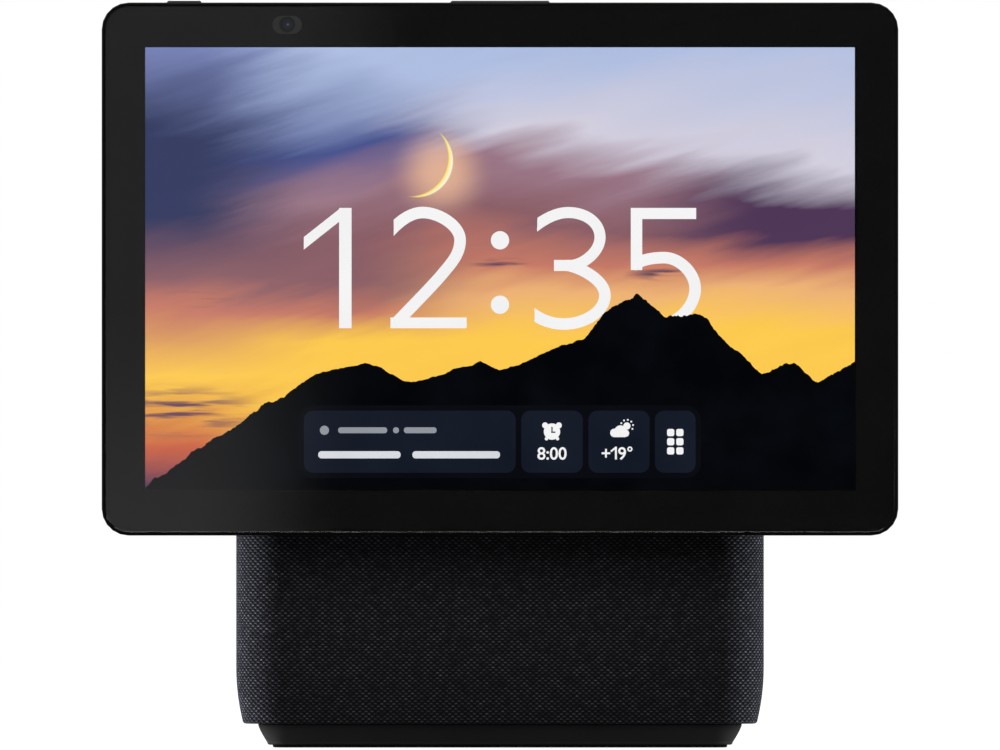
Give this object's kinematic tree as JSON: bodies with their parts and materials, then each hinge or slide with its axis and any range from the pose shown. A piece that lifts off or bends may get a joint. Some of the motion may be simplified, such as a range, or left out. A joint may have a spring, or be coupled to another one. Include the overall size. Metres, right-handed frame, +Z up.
{
  "type": "smart display",
  "caption": "Free-standing touch-screen smart display: thin glass-fronted head that tilts on a friction hinge in front of a fabric-covered loudspeaker cabinet on a narrower foot.",
  "frame": {"origin": "middle of the bounding box's footprint, on the table", "axes": "+Z up; the glass faces -Y with the head upright (tilt 0); +X is to the right of someone facing the screen"},
  "size_m": [0.2436, 0.15, 0.2288],
  "materials": {
    "black_plastic": "fine textured moulding",
    "satin_black_plastic": "satin moulding",
    "cabinet_plastic": "plain moulding",
    "woven_fabric": "knitted polyester mesh",
    "black_rubber": "matt",
    "bright_steel": "zinc plated",
    "dark_metal": "black coated",
    "aluminium": "mill finish",
    "cover_glass": "polished, black printed border behind it",
    "camera_glass": "coated lens",
    "display_panel": "lit liquid crystal panel",
    "circuit_board": "green solder mask",
    "cone_paper": "pulp cone, coated black",
    "ferrite": "sintered",
    "copper": "bare copper"
  },
  "bodies": {
    "base": {"rubber_foot": "black_rubber", "foot_plinth": "satin_black_plastic", "base_tray": "cabinet_plastic", "cabinet_shell": "cabinet_plastic", "fabric_sleeve": "woven_fabric", "woofer_frame": "dark_metal", "woofer_magnet": "ferrite", "woofer_surround": "black_rubber", "tweeter_left": "dark_metal", "tweeter_dome_left": "cone_paper", "tweeter_right": "dark_metal", "tweeter_dome_right": "cone_paper", "radiator_frame_left": "cabinet_plastic", "radiator_surround_left": "black_rubber", "radiator_frame_right": "cabinet_plastic", "radiator_surround_right": "black_rubber", "main_board": "circuit_board", "heat_sink": "aluminium", "radio_shield": "bright_steel", "amplifier_board": "circuit_board", "power_jack": "black_plastic", "rear_port_panel": "black_plastic", "hinge_bracket": "bright_steel", "bracket_screw_1": "bright_steel", "bracket_screw_2": "bright_steel", "bracket_screw_3": "bright_steel", "bracket_screw_4": "bright_steel", "hinge_pin": "bright_steel", "hinge_washer_left": "dark_metal", "hinge_washer_right": "dark_metal", "hinge_nut_left": "bright_steel", "hinge_nut_right": "bright_steel", "hinge_shroud": "black_plastic", "display_ribbon": "copper"},
    "display": {"hinge_plate": "bright_steel", "plate_screw_left": "bright_steel", "plate_screw_right": "bright_steel", "display_frame": "black_plastic", "cover_glass": "cover_glass", "lcd_panel": "display_panel", "backlight_unit": "aluminium", "display_chassis": "bright_steel", "display_board": "circuit_board", "display_back_cover": "black_plastic", "camera_module": "black_plastic", "camera_lens": "camera_glass", "microphone_left": "bright_steel", "microphone_right": "bright_steel", "rocker_pin": "bright_steel", "volume_switch_down": "bright_steel", "volume_switch_up": "bright_steel"},
    "rocker": {"volume_rocker": "satin_black_plastic"},
    "privacy_slider": {"shutter_blade": "satin_black_plastic", "shutter_link": "bright_steel", "privacy_knob": "satin_black_plastic"},
    "woofer_cone": {"woofer_diaphragm": "cone_paper", "woofer_dust_cap": "cone_paper", "woofer_voice_coil": "copper"},
    "radiator_left": {"radiator_plate_left": "aluminium"},
    "radiator_right": {"radiator_plate_right": "aluminium"}
  },
  "joints": [
    {"name": "display_tilt", "type": "hinge", "parent": "base", "child": "display", "pos_m": [0, -0.0628, 0.112], "axis": [-1, 0, 0], "range_deg": [-5, 25]},
    {"name": "volume_rock", "type": "hinge", "parent": "display", "child": "rocker", "pos_m": [0, -0.0709, 0.22605], "axis": [0, 1, 0], "range_deg": [-1.7, 1.7], "stiffness_Nm_per_rad": 0.4},
    {"name": "privacy_slide", "type": "slide", "parent": "display", "child": "privacy_slider", "axis": [1, 0, 0], "range_m": [0, 0.0072]},
    {"name": "woofer_travel", "type": "slide", "parent": "base", "child": "woofer_cone", "axis": [0, 1, 0], "range_m": [-0.003, 0.003], "stiffness_N_per_m": 1200},
    {"name": "radiator_left_travel", "type": "slide", "parent": "base", "child": "radiator_left", "axis": [-1, 0, 0], "range_m": [-0.00126, 0.00126], "stiffness_N_per_m": 600},
    {"name": "radiator_right_travel", "type": "slide", "parent": "base", "child": "radiator_right", "axis": [1, 0, 0], "range_m": [-0.00126, 0.00126], "stiffness_N_per_m": 600}
  ],
  "couplings": [
    {"joint": "radiator_left_travel", "follows": "woofer_travel", "ratio": 0.41},
    {"joint": "radiator_right_travel", "follows": "woofer_travel", "ratio": 0.41}
  ]
}
